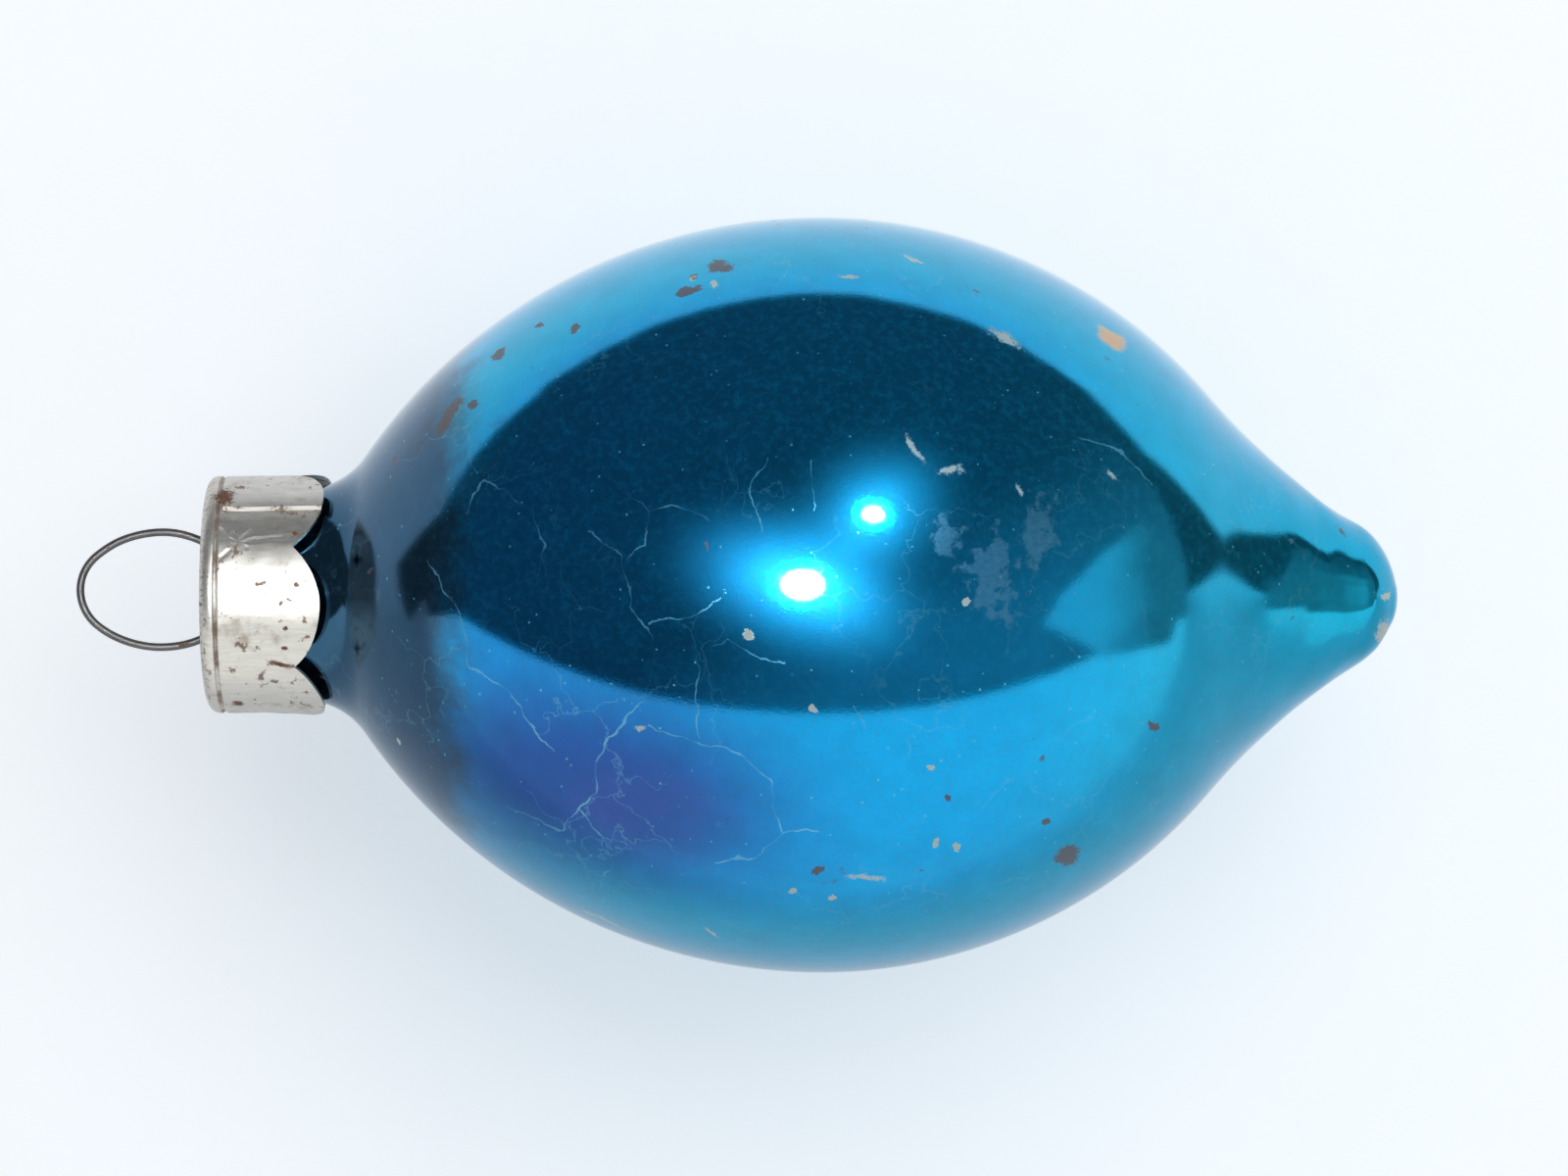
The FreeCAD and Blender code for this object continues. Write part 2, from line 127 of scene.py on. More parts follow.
def lathe(bm, profile, segments, shape):
    """Turns (x, radius) points about the ornament's axis. shape moves each point."""
    rings = []
    for x, radius in profile:
        if radius < 1e-6:
            rings.append([bm.verts.new(placed(*shape(x, 0.0, 0.0)))])
            continue
        angles = (TURN * i / segments for i in range(segments))
        rings.append([bm.verts.new(placed(*shape(x, radius, angle))) for angle in angles])
    for ring, following in zip(rings, rings[1:]):
        skin_between(bm, ring, following)
    return rings


def sweep(bm, path, radius, sides):
    """A closed round tube along a path of points near the XY plane, with domed ends."""
    rings = []
    tips = [path[0] - (path[1] - path[0]).normalized() * radius * 0.6,
            path[-1] + (path[-1] - path[-2]).normalized() * radius * 0.6]
    for i, point in enumerate(path):
        along = (path[min(i + 1, len(path) - 1)] - path[max(i - 1, 0)]).normalized()
        side = along.cross(Vector((0, 0, 1))).normalized()
        up = side.cross(along)
        shrink = 0.8 if i in (0, len(path) - 1) else 1.0
        ring = []
        for k in range(sides):
            turn = TURN * k / sides
            offset = (side * math.cos(turn) + up * math.sin(turn)) * radius * shrink
            ring.append(bm.verts.new(placed(*(point + offset))))
        rings.append(ring)
    rings.insert(0, [bm.verts.new(placed(*tips[0]))])
    rings.append([bm.verts.new(placed(*tips[1]))])
    for ring, following in zip(rings, rings[1:]):
        skin_between(bm, ring, following)


def towards(first, second, distance):
    return first + (second - first).normalized() * distance


def arc(centre, first, last, step):
    """Points from first to last round a centre, the short way, first left out."""
    start, stop = (math.atan2(p.y - centre.y, p.x - centre.x) for p in (first, last))
    sweep_angle = (stop - start + math.pi) % TURN - math.pi
    radius = (first - centre).length
    count = max(2, round(abs(sweep_angle) * radius / step))
    turns = (start + sweep_angle * i / count for i in range(1, count + 1))
    return [centre + Vector((math.cos(a), math.sin(a))) * radius for a in turns]


# ---- the glass and its two films ----

def outline(depth, mouth):
    """The wall's profile from the mouth to the nose, a depth under its outer face."""
    neck, fillet = NECK - depth, FILLET + depth
    shoulder, belly, nose = SHOULDER - depth, BELLY - depth, NOSE - depth
    widest = WIDEST - depth
    shoulder_centre = Vector((0, widest - shoulder))
    belly_centre = Vector((0, widest - belly))
    nose_centre = Vector((NOSE_CENTRE, 0))
    across = math.sqrt((shoulder + fillet) ** 2 - (neck + fillet - shoulder_centre.y) ** 2)
    fillet_centre = Vector((-across, neck + fillet))
    base = nose_centre - belly_centre
    to_belly, to_nose = WAIST + BELLY, WAIST + NOSE
    along = (to_belly**2 - to_nose**2 + base.length_squared) / (2 * base.length)
    away = math.sqrt(to_belly**2 - along**2)
    normal = Vector((-base.y, base.x)).normalized()
    waist_centre = towards(belly_centre, nose_centre, along) + normal * away

    at_neck = Vector((-across, neck))
    at_shoulder = towards(shoulder_centre, fillet_centre, shoulder)
    at_waist = towards(belly_centre, waist_centre, belly)
    at_nose = towards(nose_centre, waist_centre, nose)
    neck_run = mouth - across
    steps = math.ceil(neck_run / 0.5)
    points = [Vector((-mouth + neck_run * i / steps, neck)) for i in range(steps + 1)]
    points += arc(fillet_centre, at_neck, at_shoulder, 0.4)
    points += arc(shoulder_centre, at_shoulder, Vector((0, widest)), 0.8)
    points += arc(belly_centre, Vector((0, widest)), at_waist, 0.8)
    points += arc(waist_centre, at_waist, at_nose, 0.45)
    points += arc(nose_centre, at_nose, Vector((NOSE_CENTRE + nose, 0)), 0.22)
    return [(p.x, max(p.y, 0.0)) for p in points[:-1]] + [(points[-1].x, 0.0)]


NOSE_START = 30                 # where the glass gets lumpier towards its seal
CHIP = Vector((42.9, -3.2, 0.4))
PIP = Vector((43.4, -0.6, 1.2))


def blown(x, radius, angle):
    """Hand-blown glass is slightly uneven. The seal at the nose has a chip and a pip."""
    y, z = radius * math.cos(angle), radius * math.sin(angle)
    around = Vector((x * 0.04, y * 0.045, z * 0.045))
    dip = 0.09 * (1 + noise.noise(around)) + 0.0025 * noise.noise(around * 6)
    point = Vector((x, y, z))
    if x > NOSE_START:
        dip += 0.2 * (x - NOSE_START) / 14 * noise.noise(point * 0.33)
    dip += 0.55 * max(0.0, 1 - ((point - CHIP).length / 1.3) ** 2)
    dip -= 0.18 * max(0.0, 1 - ((point - PIP).length / 1.6) ** 2)
    scale = 1 - dip / radius if radius > 1 else 1
    return x - 0.25 * dip * (x > 38), y * scale, z * scale


def wall_piece(name, outer, inner, mouth, material):
    """A closed shell between two depths, open at the mouth."""
    bm = bmesh.new()
    outside = lathe(bm, outline(outer, mouth), WALL_SEGMENTS, blown)
    inside = lathe(bm, outline(inner, mouth), WALL_SEGMENTS, blown)
    skin_between(bm, outside[0], inside[0])
    return finish_mesh(name, bm, material)


# ---- cap ----

def scallop_edge(angle):
    """X of the skirt's edge at an angle about the axis, measured from +Y towards +Z."""
    pitch = TURN / SCALLOPS
    first_notch = math.pi / 2 + SCALLOP_TURN
    along = ((angle - first_notch) % pitch) / pitch * 2 - 1
    half = CAP_RADIUS * math.sin(pitch / 2)
    drop = (half**2 + SCALLOP_DEPTH**2) / (2 * SCALLOP_DEPTH)
    uneven = 0.12 * noise.noise(Vector((math.cos(angle), math.sin(angle), 0.3)) * 2.5)
    return -CAP_REACH + CAP_DEPTH - drop + math.sqrt(drop**2 - (along * half) ** 2) + uneven


LAP_LINE = math.pi / 2 - math.radians(46)   # along the skirt, towards +Y from the top
LAP_TURN = 0.36                             # how far round the step at it fades out
CRUMPLES = [                                # x, degrees from the top towards +Y, depth, reach
    (-40.6, -28, 0.1, 1.6), (-43.2, 100, 0.16, 1.8), (-41.2, 172, 0.14, 2.0),
    (-42.6, -95, 0.15, 1.7), (-39.6, 60, 0.12, 1.2), (-44.2, -140, 0.12, 1.5),
]


def dented(x, radius, angle):
    """The cap's sheet with its lap line, crumples and slow unevenness."""
    y, z = radius * math.cos(angle), radius * math.sin(angle)
    offset = 0.07 * noise.noise(Vector((x, y, z)) * 0.22) + 0.02 * noise.noise(Vector((x, y, z)))
    if x > SKIRT_START and radius > CAP_RADIUS - 1:
        turn = (angle - LAP_LINE + math.pi) % TURN - math.pi
        if 0 <= turn < LAP_TURN:
            offset -= 0.28 * (1 - turn / LAP_TURN) * min(1.0, (x - SKIRT_START) / 0.6)
        for place, degrees, depth, reach in CRUMPLES:
            there = math.pi / 2 - math.radians(degrees)
            away = math.hypot(x - place, ((angle - there + math.pi) % TURN - math.pi) * radius)
            offset -= depth * max(0.0, 1 - away / reach) ** 1.5
    scale = 1 + offset / radius if radius > 1 else 1
    return x, y * scale, z * scale


def cap_profile():
    """The outer face from the middle of the top to the groove, and the skirt's start."""
    top = -CAP_REACH
    corner_at = CAP_RADIUS - CAP_CORNER
    points = [(top, corner_at * i / 16) for i in range(17)]
    corner = Vector((top + CAP_CORNER, corner_at))
    ends = Vector((top, corner_at)), Vector((top + CAP_CORNER, CAP_RADIUS))
    points += [(p.x, p.y) for p in arc(corner, *ends, 0.09)]
    for i in range(-6, 7):
        depth = GROOVE_DEPTH * (1 + math.cos(math.pi * i / 6)) / 2
        points.append((GROOVE_AT + GROOVE_HALF * i / 6, CAP_RADIUS - depth))
    return points


def cap_piece(material):
    """The drawn cup, thickened from its outer face, with its two wire holes cut."""
    bm = bmesh.new()
    profile = cap_profile()
    last = lathe(bm, profile, CAP_SEGMENTS, dented)[-1]
    start = profile[-1][0] + 0.1
    for row in range(SKIRT_ROWS + 1):
        share = row / SKIRT_ROWS
        radius = CAP_RADIUS + 0.1 * share**4
        ring = []
        for i in range(CAP_SEGMENTS):
            angle = TURN * i / CAP_SEGMENTS
            x = start + (scallop_edge(angle) - start) * share
            ring.append(bm.verts.new(placed(*dented(x, radius, angle))))
        skin_between(bm, last, ring)
        last = ring
    cap = finish_mesh("ornament_cap", bm, material)
    thick = cap.modifiers.new("sheet", "SOLIDIFY")
    thick.thickness = CAP_SHEET * MM
    thick.offset = -1
    thick.use_even_offset = False
    cutters = [hole_cutter(turn) for turn in (1, -1)]
    for cutter in cutters:
        hole = cap.modifiers.new("wire_hole", "BOOLEAN")
        hole.operation = "DIFFERENCE"
        hole.solver = "EXACT"
        hole.object = cutter
    bpy.context.view_layer.update()
    solid = bpy.data.meshes.new_from_object(cap.evaluated_get(
        bpy.context.evaluated_depsgraph_get()))
    for thing in (*cutters, cap):
        bpy.data.objects.remove(thing)
    bm = bmesh.new()
    bm.from_mesh(solid)
    return finish_mesh("ornament_cap", bm, material)


def hole_cutter(turn):
    """An obround prism through the cap's top, its length along Y."""
    bm = bmesh.new()
    half = (HOLE_LENGTH - HOLE_WIDTH) / 2
    rim = []
    for i in range(32):
        angle = TURN * (i + 0.5) / 32
        y = turn * HOLE_SPREAD + math.copysign(half, math.cos(angle))
        rim.append((y + HOLE_WIDTH / 2 * math.cos(angle), HOLE_WIDTH / 2 * math.sin(angle)))
    ends = [[bm.verts.new(placed(-CAP_REACH + x, y, z)) for y, z in rim] for x in (-1, 1)]
    skin_between(bm, *ends)
    bm.faces.new(ends[0])
    bm.faces.new(ends[1])
    return finish_mesh("cutter", bm, None)


# ---- hanger ----

def wire_route():
    """Half the hanger's line, from the loop's end to the leg's tip, as (x, y) points."""
    end_centre = Vector((LOOP_END - LOOP_REACH, 0))
    side_centre = Vector((-LOOP_CENTRE, LOOP_WIDTH - LOOP_SIDE))
    to_pinch = Vector((math.sin(PINCH), math.cos(PINCH)))
    pinch_centre = side_centre + to_pinch * (LOOP_SIDE + PINCH_RADIUS)
    at_end = Vector((-LOOP_REACH, 0))
    at_side = towards(side_centre, end_centre, LOOP_SIDE)
    at_pinch = side_centre + to_pinch * LOOP_SIDE
    splay = Vector((math.cos(LEG_SPLAY), math.sin(LEG_SPLAY)))
    at_leg = pinch_centre + Vector((splay.y, -splay.x)) * PINCH_RADIUS
    points = [at_end]
    points += arc(end_centre, at_end, at_side, 0.25)
    points += arc(side_centre, at_side, at_pinch, 0.3)
    points += arc(pinch_centre, at_pinch, at_leg, 0.15)
    run = (-LEG_REACH - at_leg.x) / splay.x
    steps = 40
    points += [at_leg + splay * (run * i / steps) for i in range(1, steps + 1)]
    return points


def hanger_piece(material):
    """The bent wire, with the slight waviness of wire bent by hand."""
    half = wire_route()
    line = [(p.x, -p.y) for p in reversed(half)] + [(p.x, p.y) for p in half[1:]]
    path = []
    for x, y in line:
        wave = Vector((x * 0.3, y * 0.3, 4.0))
        sideways = 0.08 * noise.noise(wave) + LOOP_SHIFT
        path.append(Vector((x, y + sideways, 0.1 * noise.noise(wave + Vector((9, 2, 5))))))
    bm = bmesh.new()
    sweep(bm, path, WIRE, WIRE_SIDES)
    return finish_mesh("ornament_hanger", bm, material, 60)


# ---- materials ----

def socket(colour):
    return (*colour, 1.0)


class Shader:
    """A material, with short calls for the nodes that feed its Principled shader."""

    def __init__(self, name, **constants):
        self.material = bpy.data.materials.new(name)
        self.material.use_nodes = True
        self.tree = self.material.node_tree
        self.principled = self.tree.nodes["Principled BSDF"]
        for key, value in constants.items():
            self.principled.inputs[key.replace("_", " ")].default_value = value
        self.object_place = self.node("ShaderNodeTexCoord").outputs["Object"]
        from_middle = self.vector("SUBTRACT", self.object_place, MIDDLE)
        self.place = self.vector("SCALE", from_middle, 1 / MM)
        apart = self.node("ShaderNodeSeparateXYZ", Vector=self.place)
        self.x, self.y, self.z = apart.outputs
        self.flat_x, self.flat_y = self.x, self.y

    def node(self, kind, settings=None, **inputs):
        node = self.tree.nodes.new(kind)
        for key, value in (settings or {}).items():
            setattr(node, key, value)
        for key, value in inputs.items():
            self.feed(node.inputs[key.replace("_", " ")], value)
        return node

    def feed(self, target, value):
        if isinstance(value, bpy.types.NodeSocket):
            self.tree.links.new(value, target)
        else:
            target.default_value = value

    def set(self, name, value):
        self.feed(self.principled.inputs[name], value)

    def math(self, operation, *values, clamp=False):
        node = self.node("ShaderNodeMath", {"operation": operation, "use_clamp": clamp})
        for target, value in zip(node.inputs, values):
            self.feed(target, value)
        return node.outputs[0]

    def vector(self, operation, first, second):
        node = self.node("ShaderNodeVectorMath", {"operation": operation})
        self.feed(node.inputs[0], first)
        if operation == "SCALE":
            self.feed(node.inputs["Scale"], second)
        else:
            self.feed(node.inputs[1], second)
        return node.outputs["Value" if operation == "DOT_PRODUCT" else "Vector"]

    def noise(self, scale, detail=2.0, place=None, rough=0.5, colour=False):
        node = self.node("ShaderNodeTexNoise", Vector=self.place if place is None else place,
                         Scale=scale, Detail=detail, Roughness=rough)
        return node.outputs["Color" if colour else "Fac"]

    def cells(self, scale, place=None, feature="F1"):
        node = self.node("ShaderNodeTexVoronoi", {"feature": feature},
                         Vector=self.place if place is None else place,
                         Scale=scale)
        return node.outputs["Distance"]

    def ramp(self, value, low, high):
        """0 at low, 1 at high, smooth between. low may be the larger."""
        node = self.node("ShaderNodeMapRange", {"interpolation_type": "SMOOTHSTEP"},
                         Value=value, From_Min=low, From_Max=high)
        return node.outputs["Result"]

    def mix(self, share, first, second):
        node = self.node("ShaderNodeMix", {"data_type": "RGBA"})
        self.feed(node.inputs[0], share)
        for target, value in zip((node.inputs[6], node.inputs[7]), (first, second)):
            self.feed(target, value if isinstance(value, bpy.types.NodeSocket) else socket(value))
        return node.outputs[2]

    def blend(self, share, first, second):
        node = self.node("ShaderNodeMix", {"data_type": "FLOAT"})
        for target, value in zip(node.inputs[:1] + [node.inputs[2], node.inputs[3]],
                                 (share, first, second)):
            self.feed(target, value)
        return node.outputs[0]

    def finish_with(self, node):
        """Puts another shader in the Principled one's place."""
        output = self.tree.nodes["Material Output"]
        self.tree.links.new(node.outputs[0], output.inputs["Surface"])

    def bump(self, height, strength, distance):
        node = self.node("ShaderNodeBump", Height=height, Strength=strength,
                         Distance=distance * MM)
        self.set("Normal", node.outputs["Normal"])

    def mark(self, x, y, turn, reach, width, half, earlier):
        along = Vector((math.cos(turn), math.sin(turn))) / reach
        across = Vector((-math.sin(turn), math.cos(turn))) / width
        middle = Vector((x, y))
        node = self.node("ShaderNodeGroup", {"node_tree": mark_group()},
                         X=self.flat_x, Y=self.flat_y, Half=half, Earlier=earlier,
                         Along_X=along.x, Along_Y=along.y, Along_Start=-along.dot(middle),
                         Across_X=across.x, Across_Y=across.y,
                         Across_Start=-across.dot(middle))
        return node.outputs[0]

    def dabs(self, rows):
        """Distance from the nearest oval, 1 at its edge. A row is x, y, two reaches, degrees."""
        found = 1e3
        for x, y, reach, width, degrees in rows:
            found = self.mark(x, y, math.radians(degrees), reach, width, 0.0, found)
        return found

    def strokes(self, routes):
        """Distance from the nearest of some lines of straight strokes."""
        found = 1e3
        for route in routes:
            for first, last in zip(route, route[1:]):
                run = Vector(last) - Vector(first)
                middle = Vector(first) + run / 2
                found = self.mark(middle.x, middle.y, math.atan2(run.y, run.x), 1, 1,
                                  run.length / 2, found)
        return found

    def chain(self, operation, first, *others):
        """One operation over any number of values."""
        for value in others:
            first = self.math(operation, first, value)
        return first

    def most(self, *values):
        return self.chain("MAXIMUM", *values)

    def product(self, *values):
        return self.chain("MULTIPLY", *values)

    def sway(self, value, reach):
        """A value from 0 to 1, as a swing to both sides of 0."""
        return self.product(self.math("SUBTRACT", value, 0.5), reach)


def mark_group():
    """Distance from an oval or a stroke on the XY plane, or an earlier one if smaller.

    It is chained and all scalar, because a shader can hold few values at once.
    """
    if "mark" in bpy.data.node_groups:
        return bpy.data.node_groups["mark"]
    tree = bpy.data.node_groups.new("mark", "ShaderNodeTree")
    names = ("X", "Y", "Along X", "Along Y", "Along Start", "Across X", "Across Y",
             "Across Start", "Half", "Earlier")
    for name in names:
        tree.interface.new_socket(name, in_out="INPUT", socket_type="NodeSocketFloat")
    tree.interface.new_socket("Distance", in_out="OUTPUT", socket_type="NodeSocketFloat")
    given = tree.nodes.new("NodeGroupInput").outputs

    def step(operation, *values):
        node = tree.nodes.new("ShaderNodeMath")
        node.operation = operation
        for value, target in zip(values, node.inputs):
            if isinstance(value, bpy.types.NodeSocket):
                tree.links.new(value, target)
            else:
                target.default_value = value
        return node.outputs[0]

    def measure(name):
        first = step("MULTIPLY_ADD", given["Y"], given[name + " Y"], given[name + " Start"])
        return step("MULTIPLY_ADD", given["X"], given[name + " X"], first)

    along = step("SUBTRACT", step("ABSOLUTE", measure("Along")), given["Half"])
    past = step("MAXIMUM", along, 0.0)
    across = measure("Across")
    squares = step("MULTIPLY_ADD", across, across, step("MULTIPLY", past, past))
    smaller = step("MINIMUM", step("SQRT", squares), given["Earlier"])
    tree.links.new(smaller, tree.nodes.new("NodeGroupOutput").inputs[0])
    return tree


# Hairline crazing on the upper side, as (x, y) seen from above. It follows the object.
CRAZES = [
    [(-16.9, 4.5), (-14.5, 2.8), (-13.6, -0.9), (-12.4, -2.8), (-12.0, -4.9), (-12.8, -7.7),
     (-14.5, -9.1), (-15.8, -11.0), (-16.5, -12.6), (-16.4, -14.5), (-17.8, -15.8),
     (-15.8, -18.1), (-15.3, -19.6), (-16.4, -22.7)],
    [(-15.3, 8.3), (-12.4, 5.9), (-10.6, 6.1), (-7.8, 5.4)],
    [(-12.4, 5.9), (-13.1, 3.6), (-14.1, 2.7)],
    [(-12.5, -2.1), (-9.0, -1.3), (-7.3, -0.4)],
    [(-12.6, -9.4), (-9.1, -10.5), (-5.4, -11.8), (-3.7, -13.4), (-3.6, -15.5), (-2.7, -17.2),
     (-0.2, -17.0)],
    [(-8.8, -10.3), (-9.1, -6.9), (-9.0, -4.7), (-6.7, -3.0), (-4.7, -4.5), (-2.8, -5.0)],
    [(-2.7, -17.2), (-5.1, -19.0), (-7.7, -19.6)],
    [(-28.9, 2.5), (-26.8, -1.0), (-25.9, -3.2), (-25.4, -5.4), (-22.9, -6.9), (-19.6, -11.2)],
    [(-26.0, 6.0), (-24.8, 8.3), (-22.7, 7.4), (-20.7, 6.1), (-20.0, 3.5), (-19.9, 0.5)],
    [(-23.1, -15.7), (-19.2, -17.3), (-17.8, -15.8)],
    [(18.7, 11.3), (21.7, 10.4), (24.0, 8.1)],
]
SCRATCHES = [
    [(5.7, 23.6), (7.4, 21.9), (8.9, 23.3)],
    [(-4.6, 4.4), (-5.0, 7.5), (-4.2, 9.8)],
    [(-0.6, 6.0), (-0.9, 9.5)],
    [(2.2, -7.8), (3.2, -9.6)],
]
SCUFFS = [                      # x, y, half length, half width, degrees
    (6.5, 10.4, 1.7, 0.32, -62), (9.0, 8.9, 1.2, 0.4, 12),
    (13.2, 18.7, 1.8, 0.5, -32), (21.0, 8.6, 0.7, 0.35, -40), (14.0, 7.3, 0.5, 0.3, -60),
    (-16.0, -24.4, 2.9, 0.26, -24), (-8.2, -25.1, 1.0, 0.2, -50), (1.8, 23.4, 0.9, 0.25, 5),
    (-13.2, -9.5, 0.5, 0.25, -20), (6.8, 24.6, 1.0, 0.2, -30), (2.9, -20.6, 1.8, 0.3, -8),
]
FLECKS = [                      # x, y, reach
    (-5.3, -2.7, 0.4), (-2.1, -21.5, 0.35), (0.6, -22.0, 0.3), (8.2, -17.9, 0.35),
    (9.7, -18.2, 0.35), (7.8, -12.4, 0.3), (-0.6, -8.0, 0.4), (10.4, -0.3, 0.35),
    (-9.5, 23.2, 0.3), (-7.9, 22.7, 0.3), (-31.5, -11.0, 0.25), (42.4, -0.2, 0.35),
]
MILK = [                        # x, y, half length, half width, degrees
    (12.0, 1.3, 2.1, 3.2, 12), (8.6, 4.2, 1.3, 1.6, 0), (15.3, 4.6, 1.1, 2.6, -10),
]
TARNISH = [                     # x, y, half length, half width, degrees
    (-7.4, 24.2, 0.95, 0.6, 0), (-9.8, 22.2, 1.1, 0.32, 12), (-23.9, 17.7, 0.7, 0.45, 35),
    (-20.9, 19.9, 0.35, 0.3, 0), (-18.1, 19.6, 0.45, 0.32, 0), (-25.7, 14.0, 0.5, 0.3, 20),
    (-27.4, 13.2, 1.9, 0.5, 60), (18.0, -19.0, 1.2, 0.9, 0), (-0.5, -19.9, 0.5, 0.3, 20),
    (24.1, -9.5, 0.4, 0.4, 0), (16.3, -16.7, 0.35, 0.25, 0), (8.9, -14.8, 0.25, 0.2, 0),
]


def lacquer_tint(made, upper, cloud):
    """Turquoise blue, deeper towards the shoulder, violet low on the left, smoky neck."""
    tint = made.mix(made.ramp(made.x, -30, 12), (0.002, 0.22, 0.57), (0.0, 0.33, 0.69))
    tint = made.mix(made.ramp(made.x, 8, 38), tint, (0.01, 0.42, 0.61))
    tint = made.mix(made.product(made.noise(0.06, 2), 0.3), tint, (0.001, 0.22, 0.55))
    tint = made.mix(made.ramp(made.z, 21, 13), tint, (0.0, 0.37, 0.6))
    violet = made.ramp(made.dabs([(-17.0, -13.5, 20, 9.5, -12)]), 1.15, 0.2)
    tint = made.mix(made.product(violet, upper), tint, (0.012, 0.075, 0.3))
    magenta = made.ramp(made.dabs([(-13.0, -15.5, 7.5, 4.2, -14)]), 1.2, 0.3)
    magenta = made.product(magenta, upper, cloud, 0.7)
    tint = made.mix(magenta, tint, (0.045, 0.06, 0.25))
    smoke = made.ramp(made.math("ADD", made.x, made.product(cloud, 5)), -22, -26.5)
    tint = made.mix(made.product(smoke, 0.95), tint, (0.024, 0.072, 0.14))
    return made.vector("SCALE", tint, made.blend(cloud, 0.82, 1.18))


def lacquer_cracks(made, upper, web_place):
    """Fine crazing all over, with the larger cracks that stand out on the upper side."""
    near = made.strokes(CRAZES + SCRATCHES)
    strength = made.ramp(made.noise(0.35, 2), 0.35, 0.65)
    width = made.blend(strength, 0.0, 0.045)
    craze = made.ramp(made.math("SUBTRACT", near, width), 0.05, 0.0)
    craze = made.product(craze, upper, made.blend(strength, 0.2, 0.85))
    web = made.ramp(made.cells(0.13, web_place, "DISTANCE_TO_EDGE"), 0.011, 0.003)
    web = made.product(web, made.ramp(made.noise(0.1, 1), 0.42, 0.56), 0.28)
    return made.most(craze, web)


def lacquer_marks(made, upper, cloud, web_place):
    """Worn and dirty places, each as a share from 0 to 1."""
    grit = made.noise(3.2, 3, rough=0.7)
    rough_edge = made.sway(grit, 1.6)

    def patch(rows, edge=1.0, soft=0.25):
        worn = made.math("ADD", made.dabs(rows), rough_edge)
        return made.ramp(worn, edge, edge - soft)

    specks = made.ramp(made.cells(1.0), 0.14, 0.05)
    scatter = made.noise(0.9, 3, rough=0.7)
    pits = made.ramp(made.cells(0.22, web_place), 0.12, 0.07)
    blotch = made.sway(made.noise(0.9, 4, rough=0.6), 3.6)
    milk = made.ramp(made.math("ADD", made.dabs(MILK), blotch), 0.95, 0.55)
    cream = made.ramp(made.dabs([(21.4, 19.0, 1.3, 0.75, -35)]), 1.1, 0.5)
    seal = patch([(42.4, -2.7, 0.7, 1.1, 0)], soft=0.6)
    soot = patch([(-27.5, 12.0, 4.5, 5.5, 30)], 1.2, 1.0)
    return {
        "scuffs": made.product(patch(SCUFFS, 0.95, 0.7), upper, 0.85),
        "flecks": made.product(patch((x, y, r, r, 0) for x, y, r in FLECKS), upper),
        "tarnish": made.product(patch(TARNISH), upper, 0.85),
        "dots": made.product(specks, made.ramp(scatter, 0.46, 0.58)),
        "dark_dots": made.product(specks, made.ramp(scatter, 0.4, 0.34)),
        "pits": made.product(pits, made.ramp(made.noise(0.3, 1), 0.58, 0.66), 0.7),
        "milk": made.product(milk, upper, made.blend(grit, 0.2, 1.0)),
        "cream": made.product(cream, upper),
        "seal": made.product(seal, made.ramp(made.z, -3.0, 0.0)),
        "soot": made.product(soot, upper, made.ramp(cloud, 0.4, 0.65)),
    }


